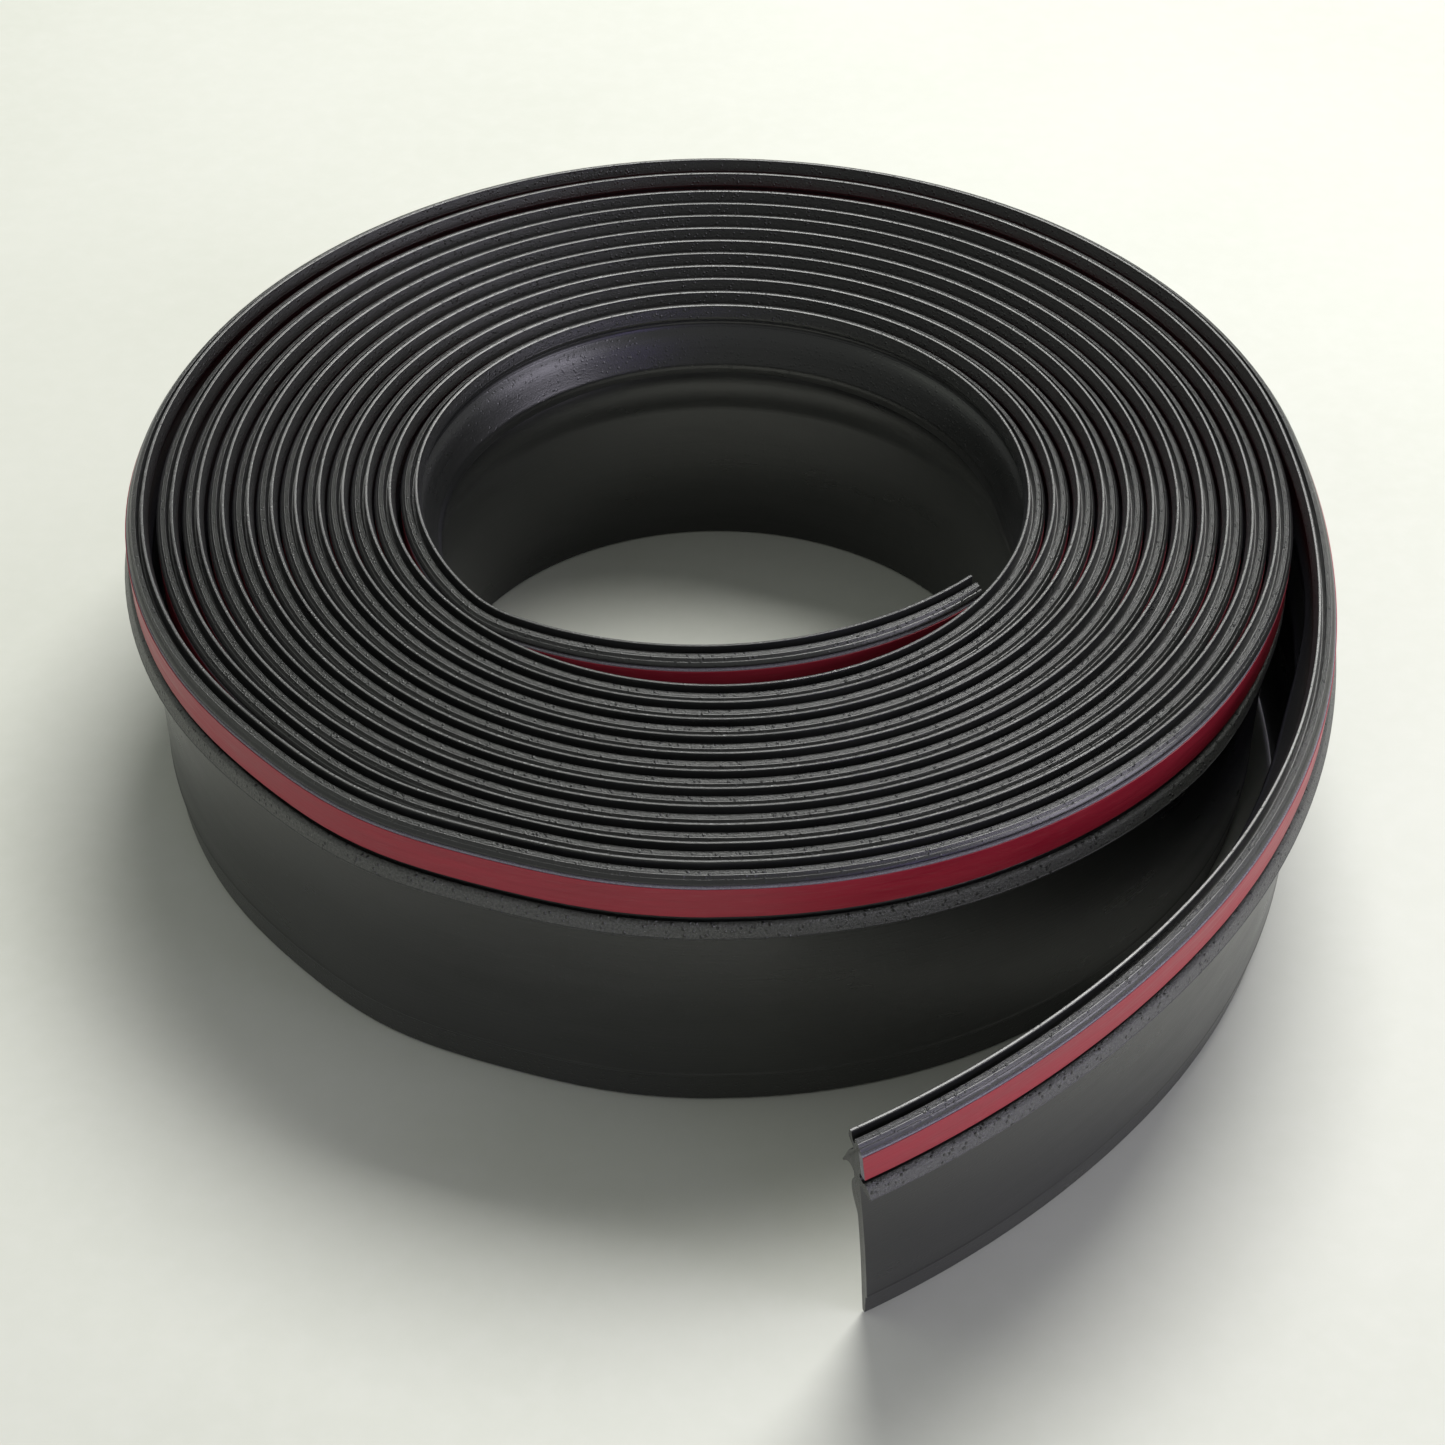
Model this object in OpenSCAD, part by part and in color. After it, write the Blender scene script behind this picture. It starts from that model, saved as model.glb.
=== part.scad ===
// Roll of extruded rubber wiper seal with a self-adhesive foam tape, standing on its flap edge.
// The strip is wound as a spiral of half-turn bends about two drifting centres.
// Angles w run clockwise from the front (-Y), seen from above; s is measured outward from the
// strip's inner face and z upward from the surface it stands on. Millimetres.

/* [Strip] */
// Height of the strip, which is the seal's full width
strip_h = 95; // [95:0.5:97]
// Width of the adhesive foam tape
tape_w = 11; // [9:0.5:11]
// Thickness of the foam tape
foam_t = 1.9; // [1.5:0.1:1.9]
// Thickness of the release liner
liner_t = 0.2; // [0.15:0.05:0.2]

/* [Roll] */
// Inner radius of the first bend
core_r = 90.2; // [80:0.1:110]
// Growth of a half turn towards the front, where the roll is wound tight
tight_step = 3.53; // [3.53:0.01:3.8]
// Growth of a half turn towards the back, where the roll is wound loose
loose_step = 4; // [4:0.05:4.5]
// Number of whole half turns after the first bend
half_turns = 22; // [18:2:22]
// Angle where the strip leaves the roll
departure_w = 263; // [245:1:270]

/* [Cut tail] */
// Length of each of the tail's three bends
tail_len = 105; // [90:1:120]
// Radius of the tail's first bend
tail_r1 = 286; // [235:1:300]
// Radius of the tail's second bend
tail_r2 = 231; // [225:1:320]
// Radius of the tail's third bend
tail_r3 = 302; // [240:1:340]
// Outward lean of the tail's second bend
lean_2 = 2.5; // [0:0.5:3]
// Outward lean of the tail's third bend
lean_3 = 6; // [3:0.5:7]
// Slant of the cut end, the head reaching further than the flap
cut_slant = 11; // [0:1:14]
// Length of the loose liner tab at the cut end
tab_len = 25; // [15:1:35]

/* [Inner end] */
// Angle where the inner end springs away from the roll
inner_w = 46; // [40:1:60]
// How sharply it turns inward there
inner_kink = 15; // [14:1:18]
// Radius of the sprung stretch
inner_r = 116; // [105:1:125]
// Sweep of the sprung stretch
inner_sweep = 74; // [40:1:74]

/* [Hidden] */
$fn = 144;

hinge_gap = 5;        // clear length at each place where a rigid stretch may turn
skin_gap = 0.1;       // depth of an adhesive layer
flap_s = 3.2;         // flap's outer face above its step
step_z = 11;          // height of the step near the flap's edge
flap_foot = [2.2, 0]; // outer corner that the strip stands on
ledge_z = 72.6;       // underside of the outer ledge
seat_s = 4.6;         // face that the foam tape is stuck to
seat_z = ledge_z + 6.6;
head_z = seat_z + tape_w;
wound_s = 6.9;        // depth of the section when wound flat
ledge_free_s = 9.2;   // depth of the ledge when nothing presses it
barb_press_w = 285;   // on the first turn, the inner end presses the barb flat from here on
tail_r = [tail_r1, tail_r2, tail_r3];
tail_lean = [0, lean_2, lean_3];
cut_reach = 20;       // extra length that the slanted cut trims

// --- where the strip runs ---
function dir(w) = [-sin(w), -cos(w)];
function bend_r(k) = core_r + floor(k / 2) * (tight_step + loose_step) + (k % 2) * tight_step;
function bend_centre(k) = [0, floor(k / 2) * (loose_step - tight_step) - (k % 2) * tight_step];
function bend_w0(k) = k % 2 == 0 ? 0 : 180;
function sweep_of(len, r) = len / r * 180 / PI;

last = half_turns + 1;
tail_start = bend_centre(last) + bend_r(last) * dir(departure_w);
function tail_w(i) = i == 0 ? departure_w : tail_w(i - 1) + sweep_of(tail_len, tail_r[i - 1]);
function tail_point(i) = i == 0 ? tail_start : tail_centre(i - 1) + tail_r[i - 1] * dir(tail_w(i));
function tail_centre(i) = tail_point(i) - tail_r[i] * dir(tail_w(i));

inner_start_w = inner_w - inner_kink;
inner_centre = bend_centre(0) + bend_r(0) * dir(inner_w) - inner_r * dir(inner_start_w);

// --- the extruded section ---
function ledge(free) = free
    ? [[ledge_free_s, ledge_z], [ledge_free_s, ledge_z + 1.6], [ledge_free_s - 2, ledge_z + 3.8]]
    : [[wound_s, ledge_z], [wound_s, ledge_z + 3.8]];
function barb(free) = free
    ? [[1.2, 86.4], [-1.8, 80.5], [-5.3, 72.5], [-4.8, 72.2], [-1.2, 77], [0.4, 77]]
    : [];
function section(barb_free, ledge_free) = concat(
    [[0.6, 0], flap_foot, [flap_foot.x, step_z], [flap_s, step_z], [flap_s, ledge_z]],
    ledge(ledge_free),
    [[seat_s, ledge_z + 3.8], [seat_s, head_z], [6.2, head_z], [6.2, head_z + 3],
     [3, head_z + 3], [3, head_z + 1.4], [1.8, head_z + 1.4], [1.8, strip_h], [0.4, strip_h]],
    barb(barb_free),
    [[0.4, 70], [-1.6, 70], [-1.6, 57], [0.6, 57]]);
module rubber_section(barb_free, ledge_free) polygon(section(barb_free, ledge_free));
module foam_section() translate([seat_s + skin_gap, seat_z]) square([foam_t, tape_w]);
module liner_section()
    translate([seat_s + foam_t + 2 * skin_gap, seat_z]) square([liner_t, tape_w]);

// --- sweeping the section ---
// One bend of the strip: the section in children(), swept about centre from w0 to w1
module bend(centre, r, w0, w1)
    translate([centre.x, centre.y, 0])
        rotate_extrude(angle = w1 - w0, start = -90 - w1) translate([r, 0]) children();

// Leans a section outward about the corner that it stands on
module leaning(lean) translate(flap_foot) rotate(-lean) translate(-flap_foot) children();

// Part of half turn k, or all of it
module turn(k, w0, w1) bend(bend_centre(k), bend_r(k), w0, w1) children();
module whole_turn(k) turn(k, bend_w0(k), bend_w0(k) + 180) children();

// A section that stays the same all along the roll
module along_roll() {
    turn(0, inner_w, 180) children();
    for (k = [1 : last - 1]) whole_turn(k) children();
    turn(last, 180, departure_w) children();
}

module along_inner_end()
    bend(inner_centre, inner_r, inner_start_w - inner_sweep,
         inner_start_w - sweep_of(hinge_gap, inner_r)) children();

// A stretch of tail bend i between two lengths measured along it
module along_tail(i, from, to)
    bend(tail_centre(i), tail_r[i], tail_w(i) + sweep_of(from, tail_r[i]),
         tail_w(i) + sweep_of(to, tail_r[i])) leaning(tail_lean[i]) children();

// Everything past the slanted cut
module past_cut() {
    foot = tail_point(3);
    translate([foot.x, foot.y, 0]) rotate([0, 0, 180 - tail_w(3)]) rotate([0, cut_slant, 0])
        translate([0, -40, -30]) cube([80, 100, 180]);
}

// --- the rolled stretch, its rubber in four runs of turns that meet end to end ---
module profile_turns(from, to) color([0.09, 0.09, 0.095]) for (k = [from : to]) {
    w0 = k == 0 ? inner_w : bend_w0(k);
    w1 = k == last ? departure_w : bend_w0(k) + 180;
    if (k == 1) {
        turn(k, w0, barb_press_w) rubber_section(true, false);
        turn(k, barb_press_w, w1) rubber_section(false, false);
    } else turn(k, w0, w1) rubber_section(k == 0, k >= last - 1);
}
module foam_tape_coil() color([0.42, 0.42, 0.45]) along_roll() foam_section();
module release_liner_coil() color([0.62, 0.08, 0.12]) along_roll() liner_section();

// --- the inner end, sprung off the first turn ---
module profile_inner_end() color([0.1, 0.1, 0.105]) along_inner_end() rubber_section(true, false);
module foam_tape_inner_end() color([0.42, 0.42, 0.45]) along_inner_end() foam_section();
module release_liner_inner_end() color([0.62, 0.08, 0.12]) along_inner_end() liner_section();

// --- the tail, unrolled to its cut end ---
module profile_tail(i) color([0.12, 0.12, 0.125])
    along_tail(i, hinge_gap, tail_len) rubber_section(i > 0, true);
module foam_tape_tail(i) color([0.42, 0.42, 0.45])
    along_tail(i, hinge_gap, tail_len) foam_section();
module release_liner_tail(i) color([0.62, 0.08, 0.12])
    along_tail(i, hinge_gap, tail_len) liner_section();

// The last bend runs on to the slanted cut; its liner stops at the loose tab
tab_start = tail_len + seat_z * tan(cut_slant) - tab_len;
module profile_tail_3() color([0.12, 0.12, 0.125]) difference() {
    along_tail(2, hinge_gap, tail_len + cut_reach) rubber_section(true, true);
    past_cut();
}
module foam_tape_tail_3() color([0.42, 0.42, 0.45]) difference() {
    along_tail(2, hinge_gap, tail_len + cut_reach) foam_section();
    past_cut();
}
module release_liner_tail_3() color([0.62, 0.08, 0.12])
    along_tail(2, hinge_gap, tab_start - 0.5) liner_section();
module release_liner_end() color([0.7, 0.1, 0.14]) difference() {
    along_tail(2, tab_start + 0.5, tail_len + cut_reach) liner_section();
    past_cut();
}

profile_turns(0, 3);  // profile_turns_1
profile_turns(4, 9);  // profile_turns_2
profile_turns(10, 15);  // profile_turns_3
profile_turns(16, last);  // profile_turns_4
foam_tape_coil();
release_liner_coil();
profile_inner_end();
foam_tape_inner_end();
release_liner_inner_end();
profile_tail(0);  // profile_tail_1
foam_tape_tail(0);  // foam_tape_tail_1
release_liner_tail(0);  // release_liner_tail_1
profile_tail(1);  // profile_tail_2
foam_tape_tail(1);  // foam_tape_tail_2
release_liner_tail(1);  // release_liner_tail_2
profile_tail_3();
foam_tape_tail_3();
release_liner_tail_3();
release_liner_end();
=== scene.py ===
"""Roll of black rubber wiper seal with foam tape and red release liner, standing on its flap edge.

The strip is one long sweep. path() says where it runs, section() gives its outline, and each piece
is a stretch of that sweep between two lengths along the strip. Lengths here are in millimetres
until place() turns them into metres; angles w run clockwise from the front, seen from above.
"""
import math

import bpy
import numpy as np
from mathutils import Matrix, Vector


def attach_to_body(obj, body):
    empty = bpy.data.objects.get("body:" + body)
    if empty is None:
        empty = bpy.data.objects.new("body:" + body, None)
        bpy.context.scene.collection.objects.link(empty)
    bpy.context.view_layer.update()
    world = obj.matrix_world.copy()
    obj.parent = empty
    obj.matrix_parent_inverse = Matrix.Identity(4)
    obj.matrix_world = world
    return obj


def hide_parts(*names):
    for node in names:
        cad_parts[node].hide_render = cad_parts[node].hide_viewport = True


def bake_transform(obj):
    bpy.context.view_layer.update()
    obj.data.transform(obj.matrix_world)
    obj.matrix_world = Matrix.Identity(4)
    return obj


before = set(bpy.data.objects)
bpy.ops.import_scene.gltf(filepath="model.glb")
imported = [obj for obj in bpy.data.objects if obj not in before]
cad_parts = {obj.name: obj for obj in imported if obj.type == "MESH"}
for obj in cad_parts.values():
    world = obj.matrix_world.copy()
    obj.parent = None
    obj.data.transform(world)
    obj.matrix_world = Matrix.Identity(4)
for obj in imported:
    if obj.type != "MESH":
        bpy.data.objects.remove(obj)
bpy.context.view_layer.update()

# --- where the strip runs, as part.scad has it ---
CORE_R, TIGHT_STEP, LOOSE_STEP = 90.2, 3.53, 4.0
DEPARTURE_W, LAST_HALF_TURN = 263.0, 23
TAIL_LENGTH, TAIL_RADII = 105.0, (286.0, 231.0, 302.0)
INNER_W, INNER_KINK, INNER_R, INNER_SWEEP = 46.0, 15.0, 116.0, 74.0
STRIP_H, LEDGE_Z, SEAT_S, SEAT_Z, HEAD_Z = 95.0, 72.6, 4.6, 79.2, 90.2
TAB_LENGTH = 25.0

# --- how it settles, which the rigid CAD stretches leave out ---
OVERRUN = 45.0          # extra path at both ends, for the slanted cut and for smoothing
SMOOTHING = 16.0        # length over which a change of bend is spread
RING_STEP = 2.6         # length between rings on the ends and tail
ROLL_DEGREES = 2.0      # turn between rings on the roll
TAIL_LEAN = math.radians(7.5)   # outward lean at the end of the tail
LEAN_RISE = 1.3         # power by which the lean grows along the tail
LEAN_LIMIT = 1.15       # share of the tail's length at which it stops growing
FOOT_SHARE, HEAD_SHARE = 1.3, 0.6   # the flap's edge leans more than that, the head less
CUT_SLANT = math.radians(8)     # less than the 11 degrees in part.scad
CUT_EXTRA = 2.0         # the foot of the cut lies this far past the one in part.scad
CUT_EASE = 60.0         # length over which the rings turn to the slant of the cut
FREE_LEDGE_W = 3890.0   # past this angle no further turn squeezes the ledge


def direction(w):
    """Unit vector at angle w degrees, clockwise from the front."""
    a = np.radians(w)
    return np.stack([-np.sin(a), -np.cos(a)], -1)


def smooth(x, low, high):
    """0 below low, 1 above high, and an even ease between them."""
    t = np.clip((np.asarray(x, float) - low) / (high - low), 0, 1)
    return t * t * (3 - 2 * t)


def half_turn(k):
    """Centre and radius of half turn k."""
    whole, odd = divmod(k, 2)
    centre = np.array([0.0, whole * (LOOSE_STEP - TIGHT_STEP) - odd * TIGHT_STEP])
    return centre, CORE_R + whole * (TIGHT_STEP + LOOSE_STEP) + odd * TIGHT_STEP


def bends():
    """Centre, radius, first and last angle of every bend, from the inner end to past the cut."""
    centre, radius = half_turn(0)
    start_w = INNER_W - INNER_KINK
    inner = centre + radius * direction(INNER_W) - INNER_R * direction(start_w)
    out = [(inner, INNER_R, start_w - INNER_SWEEP - math.degrees(OVERRUN / INNER_R), start_w)]
    departure = DEPARTURE_W + 360 * (LAST_HALF_TURN // 2)
    for k in range(LAST_HALF_TURN + 1):
        centre, radius = half_turn(k)
        out.append((centre, radius, max(180 * k, INNER_W), min(180 * k + 180, departure)))
    point, w = centre + radius * direction(departure), departure
    for i, radius in enumerate(TAIL_RADII):
        length = TAIL_LENGTH + (OVERRUN if i == 2 else 0)
        centre = point - radius * direction(w)
        out.append((centre, radius, w, w + math.degrees(length / radius)))
        w = out[-1][3]
        point = centre + radius * direction(w)
    return out


def path():
    """Length along the strip, place of its inner face and angle of its outward side, finely sampled.
    Length 0 is the root of the inner end, where the roll begins."""
    step = 0.5
    places, angles, root = [], [], 0
    for i, (centre, radius, w0, w1) in enumerate(bends()):
        count = max(2, round(math.radians(w1 - w0) * radius / step))
        w = np.linspace(w0, w1, count, endpoint=False)
        places.append(centre + radius * direction(w))
        angles.append(w)
        root = count if i == 0 else root
    places, angles = np.concatenate(places), np.concatenate(angles)
    window = np.ones(int(SMOOTHING / step)) / int(SMOOTHING / step)
    eased = np.stack([np.convolve(column, window, "valid") for column in
                      (places[:, 0], places[:, 1], angles)], 1)
    root -= len(window) // 2
    steps = np.hypot(*np.diff(eased[:, :2], axis=0).T)
    length = np.concatenate([[0], np.cumsum(steps)])
    return length - length[root], eased[:, :2], eased[:, 2]


LENGTH, PLACE, ANGLE = path()
ROLL_END = float(np.interp(DEPARTURE_W + 360 * (LAST_HALF_TURN // 2),
                           ANGLE[LENGTH > 0], LENGTH[LENGTH > 0]))
INNER_TIP = -math.radians(INNER_SWEEP) * INNER_R
TAIL_END = ROLL_END + 3 * TAIL_LENGTH + CUT_EXTRA
CUT_SLIDE = SEAT_Z * math.tan(CUT_SLANT)    # how far the slant carries the liner past the foot
TAB_START = TAIL_END + CUT_SLIDE - TAB_LENGTH


def settling(length, w):
    """How far the real winding strays outward from the even spiral, as hand winding leaves it:
    slack at the back of the two outer turns, tight inside them."""
    turn = w / 360
    back = np.interp(turn, [0, 9, 9.6, 10.5, 11.6], [0.8, -1.6, -1.6, 2.0, 3.3])
    left = np.interp(turn, [0, 7, 10, 11.3], [1.8, -0.5, -0.4, 1.6])
    front = np.full_like(turn, -0.8)
    right = np.full_like(turn, 0.6)
    a = np.radians(w)
    share = [np.clip(np.cos(a - c), 0, 1) ** 2 for c in (0, math.pi / 2, math.pi, 1.5 * math.pi)]
    even = sum(s * v for s, v in zip(share, (front, left, back, right)))
    # a small ripple at the front left of the outer turns
    ripple = 0.9 * np.sin(a * 11 + 1.3) * np.exp(-((w % 360 - 30) / 22) ** 2) * smooth(turn, 9.2, 10.2)
    keep = smooth(length, 0, 130) * (1 - smooth(length, ROLL_END - 40, ROLL_END + 90))
    return (even + ripple) * keep


def barb_state(length):
    """1 where the barb stands free, 0 where the next turn presses it flat."""
    w = np.interp(length, LENGTH, ANGLE)
    inner = 1 - smooth(w, 262, 292) + 0.5 * smooth(w, 318, 345) * (1 - smooth(w, 385, 412))
    return np.where(length < 0, 1.0, np.clip(inner, 0, 1) + smooth(length, ROLL_END + 55, ROLL_END + 120))


def ledge_state(length):
    """1 where the ledge stands free, 0 where the next turn squeezes it."""
    w = np.interp(length, LENGTH, ANGLE)
    return np.where(length < 0, 0.0, smooth(w, FREE_LEDGE_W, FREE_LEDGE_W + 22))


# --- the section: outline points (s, z), outward and up, with how rough the surface is there ---
def stroke(points, count):
    """A smooth Bezier stroke through the control points' hull."""
    t = np.linspace(0, 1, count)[:, None]
    rows = [np.repeat(np.array([p], float), count, 0) for p in points]
    while len(rows) > 1:
        rows = [(1 - t) * a + t * b for a, b in zip(rows, rows[1:])]
    return rows[0]


def section(barb, ledge):
    """Outline of the rubber for a barb and a ledge that are free (1) or pressed (0)."""
    def mix(state, pressed, free):
        return [tuple((1 - state) * p + state * f for p, f in zip(a, b)) for a, b in zip(pressed, free)]

    edge = mix(ledge, [(6.0, LEDGE_Z), (6.5, LEDGE_Z), (6.6, LEDGE_Z + 0.1), (6.6, LEDGE_Z + 0.4)],
               [(8.8, LEDGE_Z - 0.05), (9.15, LEDGE_Z), (9.25, LEDGE_Z + 0.2), (9.15, LEDGE_Z + 0.6)])
    face = mix(ledge, [(6.6, LEDGE_Z + 0.6), (6.4, 75.6)], [(9.05, LEDGE_Z + 0.9), (7.95, 75.9)])
    shelf = mix(ledge, [(6.35, 75.8), (6.2, 76.2), (5.4, 76.6), (5.2, 76.6)],
                [(7.8, 76.15), (7.65, 76.4), (6.4, 76.95), (6.15, 76.9)])
    recess = mix(ledge, [(5.1, 76.5), (4.9, 75.9), (3.9, 75.9), (3.8, 77.0)],
                 [(6.0, 76.75), (5.6, 75.9), (3.9, 75.9), (3.8, 77.0)])
    blade = mix(barb, [(1.4, 86.4), (0.3, 85.0), (0.25, 81.0), (0.2, 76.2)],
                [(1.4, 86.4), (-1.2, 84.0), (-2.0, 80.0), (-5.3, 72.8)])
    tip = mix(barb, [(0.2, 76.2), (0.2, 75.8), (0.3, 75.7)], [(-5.3, 72.8), (-5.5, 72.3), (-5.0, 72.3)])
    under = mix(barb, [(0.3, 75.7), (0.4, 75.7), (0.5, 75.2), (0.6, 74.4)],
                [(-5.0, 72.3), (-2.0, 77.2), (-0.6, 76.9), (0.5, 74.9)])
    parts = [
        (stroke([(0.95, 0.5), (1.0, 0), (2.1, 0), (2.15, 0.5)], 5), 0.15),
        (stroke([(2.15, 0.7), (2.5, 10.2)], 4), 0.15),
        (stroke([(2.5, 10.35), (2.6, 10.7), (3.15, 10.8)], 3), 0.0),
        (stroke([(3.25, 10.9), (3.5, 11.3), (3.15, 12.0)], 4), 0.0),
        (stroke([(3.12, 12.4), (3.3, 70.6)], 12), 0.0),
        (stroke([(3.3, 71.2), (3.3, LEDGE_Z), (4.4, LEDGE_Z)], 4), 0.0),
        (stroke(edge, 4), 0.5),
        (stroke(face, 5), 1.0),
        (np.array(shelf), 1.0),
        (np.array(recess), 0.1),
        (stroke([(3.8, 78.0), (4.0, 78.9), (SEAT_S - 0.1, 79.1)], 3), 0.0),
        (stroke([(SEAT_S, SEAT_Z), (SEAT_S, HEAD_Z)], 4), 0.0),
        (stroke([(SEAT_S + 0.1, HEAD_Z + 0.1), (6.25, HEAD_Z + 0.05), (6.3, HEAD_Z + 0.7)], 4), 0.1),
        (stroke([(6.28, HEAD_Z + 0.8), (6.2, 91.3), (5.9, 91.7), (5.55, 92.1)], 4), 0.1),
        (stroke([(5.4, 92.25), (4.95, 92.8), (4.75, 93.15)], 3), 0.35),
        (stroke([(4.65, 93.25), (3.55, 93.6)], 3), 0.75),
        (stroke([(3.45, 93.68), (3.3, 93.7), (3.28, 93.5)], 3), 0.3),
        (stroke([(3.28, 93.0), (3.2, 90.4), (1.85, 90.3), (1.78, 92.8)], 9), 0.0),
        (stroke([(1.75, 93.2), (1.72, 94.8)], 2), 0.0),
        (stroke([(1.7, 94.9), (1.68, 95.0), (1.55, 95.0)], 3), 0.0),
        (stroke([(1.45, 95.0), (0.95, 94.97)], 2), 0.1),
        (stroke([(0.88, 94.95), (0.76, 94.9), (0.72, 94.75)], 3), 0.1),
        (stroke([(0.68, 94.6), (-0.2, 91.5)], 4), 0.5),
        (stroke([(-0.2, 91.2), (-0.25, 90.0), (0.9, 89.0), (1.8, 88.2)], 6), 0.3),
        (stroke([(1.85, 88.0), (2.0, 87.2), (1.5, 86.6)], 3), 0.0),
        (stroke(blade, 8), 0.1),
        (stroke(tip, 3), 0.1),
        (stroke(under, 6), 0.0),
        (stroke([(0.6, 74.0), (0.6, 72.6)], 2), 0.0),
        (stroke([(0.6, 72.3), (0.2, 70.6), (-2.6, 69.0), (-2.8, 60.0), (0.3, 57.5), (0.6, 53.5)], 12), 0.0),
        (stroke([(0.6, 52.5), (0.6, 12.0)], 10), 0.0),
        (stroke([(0.6, 10.5), (0.9, 1.0)], 4), 0.0),
    ]
    return np.concatenate([p for p, _ in parts]), np.concatenate([np.full(len(p), r) for p, r in parts])


PRESSED, ROUGH = section(0, 0)
BARB_SHIFT = section(1, 0)[0] - PRESSED
LEDGE_SHIFT = section(0, 1)[0] - PRESSED


def rubber_outline(length):
    """Outline of the rubber at each length."""
    barb, ledge = (state(length)[:, None, None] for state in (barb_state, ledge_state))
    return PRESSED + barb * BARB_SHIFT + ledge * LEDGE_SHIFT


def band(s0, s1, z0, z1, corner):
    """Closed outline of a flat band with softened corners."""
    return np.concatenate([
        stroke([(s0, z0 + corner), (s0, z0), (s0 + corner, z0)], 3),
        stroke([(s1 - corner, z0), (s1, z0), (s1, z0 + corner)], 3),
        stroke([(s1, z0 + 1), (s1, z1 - 1)], 5),
        stroke([(s1, z1 - corner), (s1, z1), (s1 - corner, z1)], 3),
        stroke([(s0 + corner, z1), (s0, z1), (s0, z1 - corner)], 3)])


def tape_state(length):
    """1 where the foam tape has its full thickness, 0 where the next turn squeezes it."""
    return np.maximum(ledge_state(length), 1 - smooth(length, 5, 60))


def tape_outline(pressed, free):
    """Outline of the foam or its liner, squeezed in the wound turns."""
    return lambda length: pressed + tape_state(length)[:, None, None] * (free - pressed)


FOAM = tape_outline(band(SEAT_S + 0.1, SEAT_S + 1.5, SEAT_Z - 0.1, HEAD_Z - 0.05, 0.25),
                    band(SEAT_S + 0.1, SEAT_S + 2.0, SEAT_Z - 0.1, HEAD_Z - 0.05, 0.25))
LINER = tape_outline(band(SEAT_S + 1.58, SEAT_S + 1.72, SEAT_Z + 0.25, HEAD_Z - 0.5, 0.05),
                     band(SEAT_S + 2.08, SEAT_S + 2.3, SEAT_Z + 0.25, HEAD_Z - 0.5, 0.06))


def place(length, s, z):
    """A point s outward and z up from the strip's inner face at that length, in metres."""
    along = np.clip((length - ROLL_END) / (3 * TAIL_LENGTH), 0, LEAN_LIMIT)
    lean = TAIL_LEAN * along ** LEAN_RISE
    foot_slope, head_slope = np.tan(FOOT_SHARE * lean), np.tan(HEAD_SHARE * lean)
    flap = np.minimum(z, LEDGE_Z)
    out = s + foot_slope * flap - (foot_slope - head_slope) * flap ** 2 / (2 * LEDGE_Z)
    out = out + head_slope * np.maximum(z - LEDGE_Z, 0)
    up = z * np.cos(lean) - s * np.sin(head_slope) * smooth(z, 20, LEDGE_Z)
    x, y = (np.interp(length, LENGTH, PLACE[:, i]) for i in (0, 1))
    w = np.interp(length, LENGTH, ANGLE)
    out = out + settling(length, w)
    normal = direction(w)
    return np.stack([x + out * normal[..., 0], y + out * normal[..., 1], up], -1) / 1000


def rings(start, end, roll=False):
    """Lengths at which a piece has rings, closer on the inner turns of the roll."""
    if not roll:
        return np.linspace(start, end, max(2, round(abs(end - start) / RING_STEP) + 1))
    w0, w1 = np.interp([start, end], LENGTH, ANGLE)
    keep = LENGTH >= 0
    return np.interp(np.linspace(w0, w1, round((w1 - w0) / ROLL_DEGREES) + 1), ANGLE[keep], LENGTH[keep])


def build(name, lengths, outline, rough, finish, cut=False):
    """Sweeps an outline along the strip, closes both ends and gives the mesh its strip coordinates."""
    count, around = len(lengths), outline.shape[-2]
    shape = np.broadcast_to(outline, (count, around, 2))
    s, z = shape[..., 0], shape[..., 1]
    along = np.repeat(lengths[:, None], around, 1)
    if cut:
        slide = smooth(lengths, TAIL_END - CUT_EASE, TAIL_END)[:, None]
        along = along + slide * z * math.tan(CUT_SLANT)
    points = place(along, s, z).reshape(-1, 3)
    ring = np.arange(around)
    after = np.roll(ring, -1)
    first = (np.arange(count - 1) * around)[:, None]
    quads = np.stack([first + ring, first + around + ring, first + around + after, first + after], -1)
    mesh = bpy.data.meshes.new(name)
    ends = [list(ring), list((count - 1) * around + ring[::-1])]
    mesh.from_pydata(points.tolist(), [], quads.reshape(-1, 4).tolist() + ends)
    mesh.update()
    mesh.polygons.foreach_set("use_smooth", np.ones(len(mesh.polygons), bool))
    girth = np.concatenate([[0], np.cumsum(np.hypot(*np.diff(shape[0], axis=0).T))])
    strip = np.stack([along, np.broadcast_to(girth, along.shape), np.zeros_like(along)], -1) / 1000
    mesh.attributes.new("strip", "FLOAT_VECTOR", "POINT").data.foreach_set(
        "vector", strip.astype(np.float32).ravel())
    mesh.attributes.new("rough", "FLOAT", "POINT").data.foreach_set(
        "value", np.broadcast_to(rough, (count, around)).astype(np.float32).ravel())
    mark_ends(mesh, count, around)
    mesh.materials.append(finish)
    piece = bpy.data.objects.new(name, mesh)
    bpy.context.collection.objects.link(piece)
    return piece


def mark_ends(mesh, count, around):
    """Keeps the cut ends crisp under smooth shading."""
    last = (count - 1) * around
    flags = np.zeros(len(mesh.edges), bool)
    pairs = np.empty(len(mesh.edges) * 2, int)
    mesh.edges.foreach_get("vertices", pairs)
    pairs = pairs.reshape(-1, 2)
    for low in (0, last):
        flags |= ((pairs >= low) & (pairs < low + around)).all(1)
    mesh.attributes.new("sharp_edge", "BOOLEAN", "EDGE").data.foreach_set("value", flags)


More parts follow.
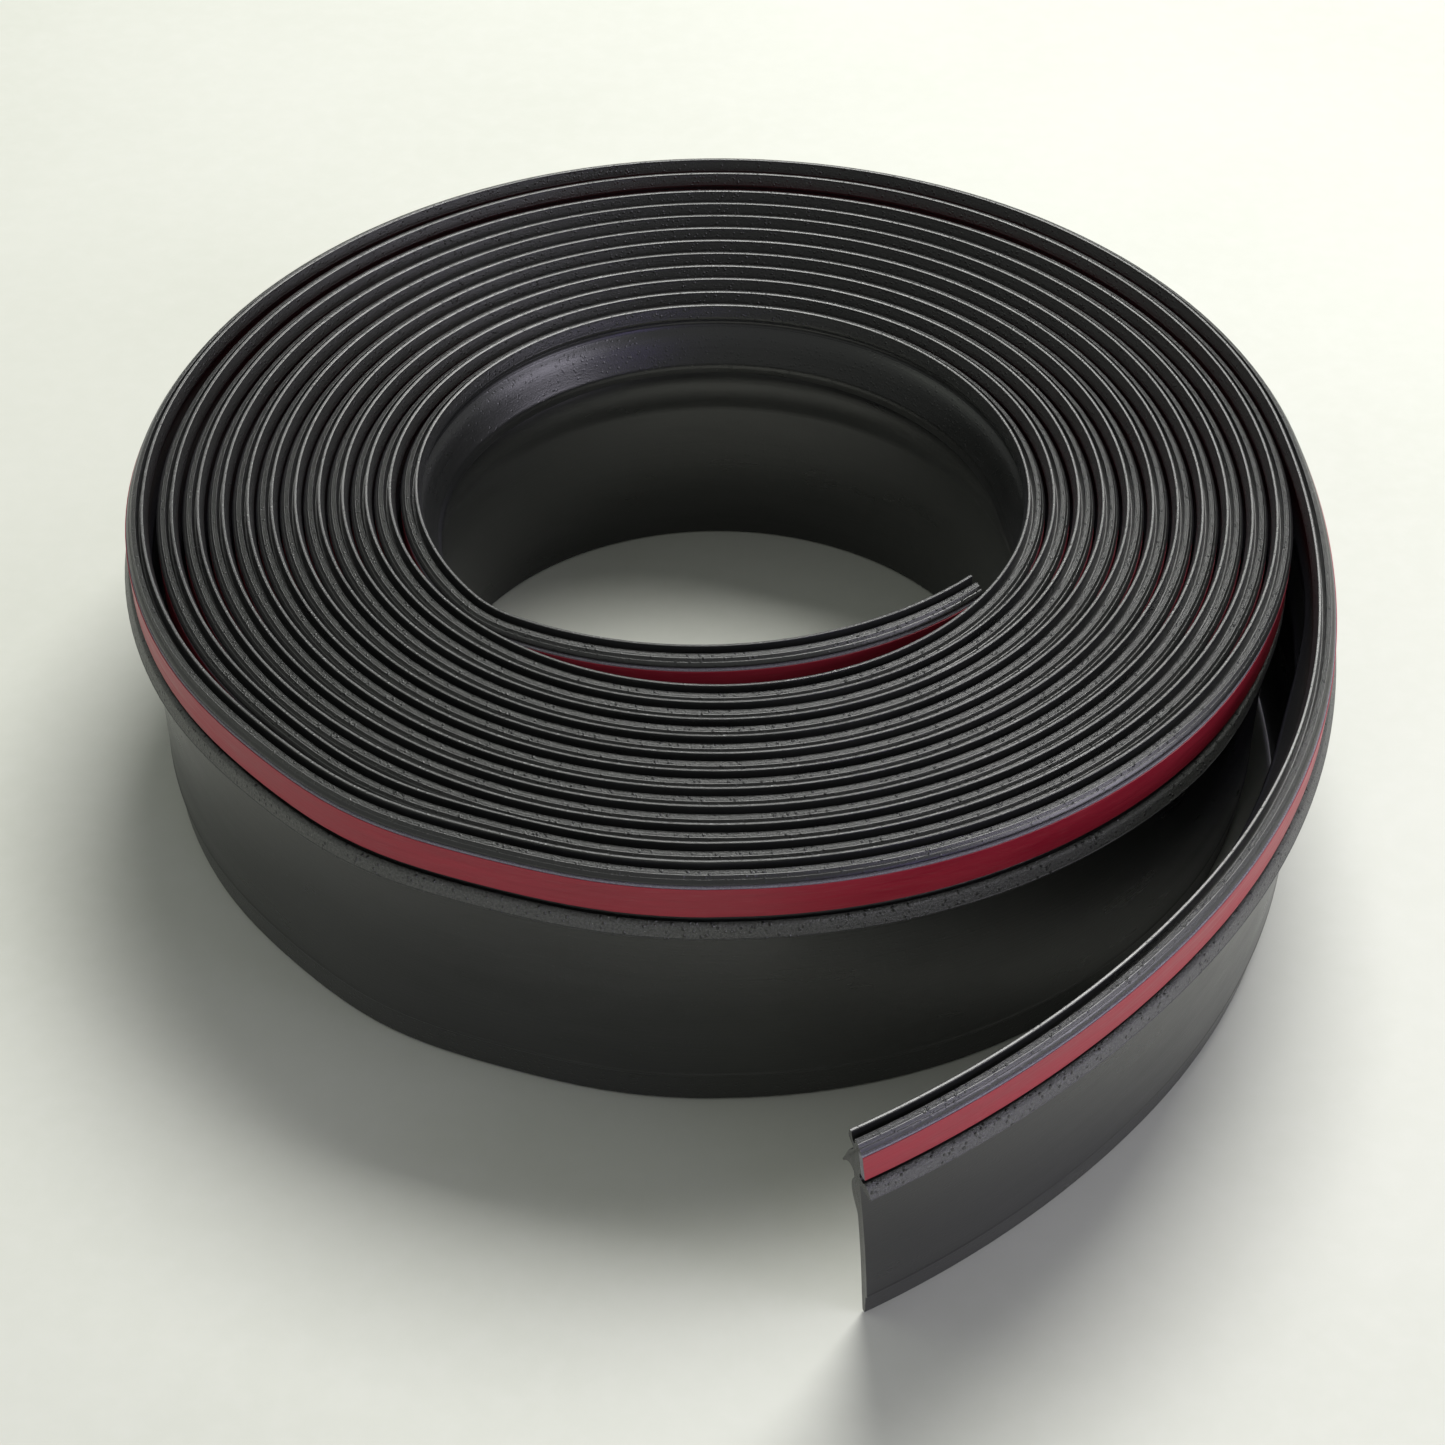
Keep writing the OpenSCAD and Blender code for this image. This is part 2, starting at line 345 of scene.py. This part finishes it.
# --- materials ---
def new_material(name):
    """An empty material with a Principled shader joined to its output."""
    material = bpy.data.materials.new(name)
    material.use_nodes = True
    nodes = material.node_tree.nodes
    nodes.clear()
    shader = nodes.new("ShaderNodeBsdfPrincipled")
    output = nodes.new("ShaderNodeOutputMaterial")
    material.node_tree.links.new(shader.outputs[0], output.inputs[0])
    return material, shader


class Nodes:
    """Short names for the shader nodes that every material here is made of."""

    def __init__(self, material):
        self.tree = material.node_tree

    def add(self, kind, **values):
        node = self.tree.nodes.new(kind)
        for key, value in values.items():
            setattr(node, key, value)
        return node

    def link(self, out, into):
        self.tree.links.new(out, into)

    def attribute(self, name):
        node = self.add("ShaderNodeAttribute", attribute_name=name)
        return node.outputs["Vector"] if name == "strip" else node.outputs["Fac"]

    def scaled(self, vector, scale):
        node = self.add("ShaderNodeMapping")
        node.inputs["Scale"].default_value = scale
        self.link(vector, node.inputs["Vector"])
        return node.outputs[0]

    def noise(self, vector, scale, detail=3.0, roughness=0.6):
        node = self.add("ShaderNodeTexNoise")
        node.inputs["Scale"].default_value = scale
        node.inputs["Detail"].default_value = detail
        node.inputs["Roughness"].default_value = roughness
        self.link(vector, node.inputs["Vector"])
        return node.outputs["Fac"]

    def remap(self, value, low, high, to_low=0.0, to_high=1.0):
        node = self.add("ShaderNodeMapRange")
        for name, number in zip(("From Min", "From Max", "To Min", "To Max"), (low, high, to_low, to_high)):
            node.inputs[name].default_value = number
        self.link(value, node.inputs["Value"])
        return node.outputs[0]

    def math(self, operation, a, b):
        node = self.add("ShaderNodeMath", operation=operation)
        for socket, value in zip(node.inputs, (a, b)):
            if isinstance(value, (int, float)):
                socket.default_value = value
            else:
                self.link(value, socket)
        return node.outputs[0]

    def mix(self, share, a, b):
        node = self.add("ShaderNodeMix", data_type="RGBA")
        self.link(share, node.inputs[0])
        for socket, value in ((node.inputs[6], a), (node.inputs[7], b)):
            if isinstance(value, tuple):
                socket.default_value = (*value, 1)
            else:
                self.link(value, socket)
        return node.outputs[2]

    def bump(self, height, distance, strength):
        node = self.add("ShaderNodeBump")
        node.inputs["Distance"].default_value = distance
        node.inputs["Strength"].default_value = strength
        self.link(height, node.inputs["Height"])
        return node.outputs[0]


def rubber_material():
    """Matte black rubber: smooth with faint extrusion lines, coarse with dust specks on the rough bands,
    with painted shade in their pits and a painted lighter grey-green on the ledge for the light it catches.
    """
    material, shader = new_material("extruded_rubber")
    n = Nodes(material)
    strip, rough = n.attribute("strip"), n.attribute("rough")
    lines = n.noise(n.scaled(strip, (6, 1500, 1)), 1.0, 2.0)
    cloud = n.noise(n.scaled(strip, (18, 60, 1)), 1.0, 4.0)
    grain = n.noise(strip, 1500, 3.0, 0.8)
    cells = n.add("ShaderNodeTexVoronoi")
    cells.inputs["Scale"].default_value = 620
    n.link(strip, cells.inputs["Vector"])
    pits = n.remap(cells.outputs["Distance"], 0.10, 0.30)
    dust = n.remap(n.noise(strip, 1250, 1.0), 0.735, 0.79)
    shade = n.mix(n.remap(cloud, 0.35, 0.7), (0.0075, 0.0080, 0.0075), (0.0140, 0.0145, 0.0140))
    shade = n.mix(n.remap(lines, 0.4, 0.75, 0.0, 0.5), shade, (0.018, 0.018, 0.018))
    # the dark ends of this mix and of the ledge mix below, where the pit map is low, are painted shade in
    # the pits that the bump sinks
    coarse = n.mix(n.math("MULTIPLY", pits, n.remap(grain, 0.38, 0.66)),
                   (0.002, 0.002, 0.002), (0.042, 0.043, 0.040))
    # lighter grey-green on the ledge bands: painted light for the overhead light their up-tilted faces
    # catch, laid over their grain
    ledge_grain_and_light = n.mix(n.math("MULTIPLY", pits, n.remap(grain, 0.3, 0.7)),
                  (0.010, 0.010, 0.010), (0.115, 0.118, 0.108))
    coarse = n.mix(n.remap(rough, 0.8, 1.0), coarse, ledge_grain_and_light)
    shade = n.mix(rough, shade, coarse)
    shade = n.mix(n.math("MULTIPLY", dust, n.remap(rough, 0, 1, 0.12, 0.8)), shade, (0.35, 0.35, 0.33))
    n.link(shade, shader.inputs["Base Color"])
    gloss = n.math("ADD", n.remap(cloud, 0.3, 0.7, 0.25, 0.38), n.math("MULTIPLY", rough, 0.04))
    n.link(gloss, shader.inputs["Roughness"])
    shader.inputs["Specular IOR Level"].default_value = 0.85
    shader.inputs["Sheen Weight"].default_value = 0.02
    shader.inputs["Sheen Roughness"].default_value = 0.35
    shader.inputs["Sheen Tint"].default_value = (0.75, 0.72, 1, 1)
    height = n.math("MULTIPLY", n.math("ADD", grain, pits), n.remap(rough, 0, 1, 0.05, 1.0))
    height = n.math("ADD", height, n.math("MULTIPLY", lines, 0.10))
    n.link(n.bump(height, 0.0005, 0.75), shader.inputs["Normal"])
    return material


def foam_material():
    """Grey closed-cell foam."""
    material, shader = new_material("closed_cell_foam")
    n = Nodes(material)
    strip = n.attribute("strip")
    cells = n.add("ShaderNodeTexVoronoi")
    cells.inputs["Scale"].default_value = 3200
    n.link(strip, cells.inputs["Vector"])
    shade = n.mix(n.remap(cells.outputs["Distance"], 0.0, 0.7), (0.42, 0.41, 0.45), (0.20, 0.19, 0.22))
    n.link(shade, shader.inputs["Base Color"])
    shader.inputs["Roughness"].default_value = 0.85
    n.link(n.bump(cells.outputs["Distance"], 0.0002, 0.6), shader.inputs["Normal"])
    return material


def liner_material():
    """Thin red plastic film, a little cloudy, with faint lengthwise ripples."""
    material, shader = new_material("red_release_liner")
    n = Nodes(material)
    strip = n.attribute("strip")
    cloud = n.noise(n.scaled(strip, (30, 220, 1)), 1.0, 4.0)
    ripples = n.noise(n.scaled(strip, (45, 500, 1)), 1.0, 2.0)
    scuffs = n.remap(n.noise(n.scaled(strip, (160, 1800, 1)), 1.0, 3.0), 0.55, 0.8, 0.0, 0.5)
    shade = n.mix(n.remap(cloud, 0.3, 0.7), (0.300, 0.010, 0.028), (0.370, 0.018, 0.038))
    shade = n.mix(scuffs, shade, (0.36, 0.07, 0.08))
    n.link(shade, shader.inputs["Base Color"])
    n.link(n.remap(cloud, 0.3, 0.7, 0.34, 0.5), shader.inputs["Roughness"])
    n.link(n.bump(ripples, 0.0004, 0.5), shader.inputs["Normal"])
    return material


def floor_material():
    """Pale table top with very faint mottling."""
    material, shader = new_material("pale_table")
    n = Nodes(material)
    coordinates = n.add("ShaderNodeTexCoord").outputs["Object"]
    cloud = n.noise(coordinates, 3.0, 4.0)
    fine = n.noise(coordinates, 120.0, 3.0)
    shade = n.mix(n.remap(cloud, 0.3, 0.7), (0.610, 0.622, 0.560), (0.665, 0.672, 0.620))
    shade = n.mix(n.remap(fine, 0.4, 0.8, 0.0, 0.25), shade, (0.72, 0.72, 0.68))
    n.link(shade, shader.inputs["Base Color"])
    shader.inputs["Roughness"].default_value = 0.55
    return material


RUBBER, FOAM_FINISH, LINER_FINISH = rubber_material(), foam_material(), liner_material()


def attach(piece, nodes, body, bend=None):
    """Stands piece in for CAD nodes; bend is (body, length, reach) for a piece that crosses a joint, and
    only whether it is given is used: such a piece is baked in place and joined to no body.
    """
    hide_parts(*nodes)
    if bend is None:
        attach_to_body(piece, body)
    else:
        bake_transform(piece)


LAYERS = {
    "profile": ("rubber", RUBBER, rubber_outline, ROUGH),
    "foam_tape": ("foam", FOAM_FINISH, FOAM, 0.0),
    "release_liner": ("liner", LINER_FINISH, LINER, 0.0),
}
ROLL_RUBBER = [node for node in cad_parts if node.startswith("profile_turns_")]
HINGE = 2.5             # the joints sit this far into each stretch
JOINT_1, JOINT_2, JOINT_3 = (ROLL_END + i * TAIL_LENGTH + HINGE for i in range(3))
ROLL_START, ROLL_STOP = 14.0, ROLL_END - 26.0   # clear of the bends at the roll's two ends
SEAM = 50.0             # two pieces meet this far past the start of the tail's first and second thirds
SEAM_1, SEAM_2 = ROLL_END + SEAM, ROLL_END + (SEAM + TAIL_LENGTH)
# how far a bend is meant to spread each way, passed on with each joint but not used; the inner end runs
# towards lower lengths
INNER_REACH, ROOT_REACH, TAIL_REACH = (-10.0, -10.0), (24.0, 24.0), (40.0, 40.0)
STRETCHES = [
    # name, first length, last length, body it starts on, body it ends on, joint's length, reach
    ("coil", ROLL_START, ROLL_STOP, "coil", None, None, None),
    ("inner_end", ROLL_START, INNER_TIP, "coil", "inner_end", -HINGE, INNER_REACH),
    ("tail_1", ROLL_STOP, SEAM_1, "coil", "tail_1", JOINT_1, ROOT_REACH),
    ("tail_2", SEAM_1, SEAM_2, "tail_1", "tail_2", JOINT_2, TAIL_REACH),
    ("tail_3", SEAM_2, TAIL_END, "tail_2", "tail_3", JOINT_3, TAIL_REACH),
]
TAB_ROOM = 8.0          # the peeling tab's piece starts this far before its joint
LINER_STOP = TAB_START - TAB_ROOM - CUT_SLIDE
TAB_RINGS = 24


def make_stretch(layer, name, first, last, body, other, joint, reach):
    """One layer of one stretch; the liner's last stretch stops where its tab begins."""
    slot_name, finish, outline, rough = LAYERS[layer]
    end = LINER_STOP if (layer, name) == ("release_liner", "tail_3") else last
    lengths = rings(first, end, roll=name == "coil")
    if first > last:
        lengths = lengths[::-1]
    cut = name == "tail_3"
    piece = build(f"{layer}_{name}_piece", lengths, outline(lengths), rough, finish, cut)
    nodes = ROLL_RUBBER if (layer, name) == ("profile", "coil") else [f"{layer}_{name}"]
    attach(piece, nodes, body, other and (other, joint, reach))


for layer_name in LAYERS:
    for stretch in STRETCHES:
        make_stretch(layer_name, *stretch)


def make_tab():
    """The liner's last stretch, the tab, lying on the foam like the rest of the liner."""
    lengths = np.linspace(LINER_STOP, TAIL_END, TAB_RINGS)
    piece = build("release_liner_end_piece", lengths, LINER(lengths), 0.0, LINER_FINISH, True)
    attach(piece, ["release_liner_end"], "tail_3", ("liner_end", TAB_START, (5.0, 5.0)))


make_tab()


# --- stage, light and camera, in metres ---
FLOOR_HALF, FLOOR_DROP = 14.0, 0.0003   # the drop keeps it just clear of the strip's edge
LENS_MM, SENSOR_MM = 74.74, 36
CAMERA_PLACE, CAMERA_DOWN = (0.0017, -0.7345, 0.6562), 0.7348
WORLD_COLOUR, WORLD_STRENGTH = (0.92, 0.95, 0.91, 1), 0.33
LIGHTS = [
    # name, place, point it is aimed at, width and height, watts, colour
    ("window_behind", (0.43, 1.13, 1.85), (0, 0, 0.05), (1.35, 1.1), 54, (1, 1, 0.97)),
    ("window_right", (1.75, -0.75, 0.75), (0.05, -0.05, 0.04), (1.0, 0.8), 14, (0.88, 0.84, 1)),
    ("window_low", (1.0, -1.65, 0.20), (-0.07, 0.15, 0.09), (0.5, 0.3), 3.2, (0.50, 0.40, 1)),
    ("room_left", (-1.6, 0.1, 1.3), (0, 0, 0.05), (0.9, 0.9), 2, (0.92, 1, 0.84)),
]


def make_floor():
    """The table top, one large square."""
    low, high = -FLOOR_HALF, FLOOR_HALF
    mesh = bpy.data.meshes.new("floor")
    corners = [(low, low, 0), (high, low, 0), (high, high, 0), (low, high, 0)]
    mesh.from_pydata(corners, [], [(0, 1, 2, 3)])
    floor = bpy.data.objects.new("floor", mesh)
    floor.location.z = -FLOOR_DROP
    bpy.context.collection.objects.link(floor)
    mesh.materials.append(floor_material())


def make_light(name, place_at, aim, size, power, colour):
    """A rectangular area light at place_at, facing aim."""
    light = bpy.data.lights.new(name, "AREA")
    light.shape = "RECTANGLE"
    light.size, light.size_y = size
    light.energy, light.color = power, colour
    lamp = bpy.data.objects.new(name, light)
    lamp.location = place_at
    lamp.rotation_euler = (Vector(aim) - Vector(place_at)).to_track_quat("-Z", "Y").to_euler()
    bpy.context.collection.objects.link(lamp)


def make_camera():
    """A camera in front of the roll, looking down at it by CAMERA_DOWN radians."""
    camera = bpy.data.cameras.new("camera")
    camera.lens, camera.sensor_width = LENS_MM, SENSOR_MM
    view = bpy.data.objects.new("camera", camera)
    view.location = CAMERA_PLACE
    view.rotation_euler = (math.pi / 2 - CAMERA_DOWN, 0, 0)
    bpy.context.collection.objects.link(view)
    bpy.context.scene.camera = view


def make_world():
    """An even, pale room light."""
    world = bpy.data.worlds.new("studio")
    world.use_nodes = True
    background = world.node_tree.nodes["Background"]
    background.inputs[0].default_value = WORLD_COLOUR
    background.inputs[1].default_value = WORLD_STRENGTH
    bpy.context.scene.world = world


make_floor()
for light_row in LIGHTS:
    make_light(*light_row)
make_camera()
make_world()
bpy.context.scene.view_settings.view_transform = "Standard"
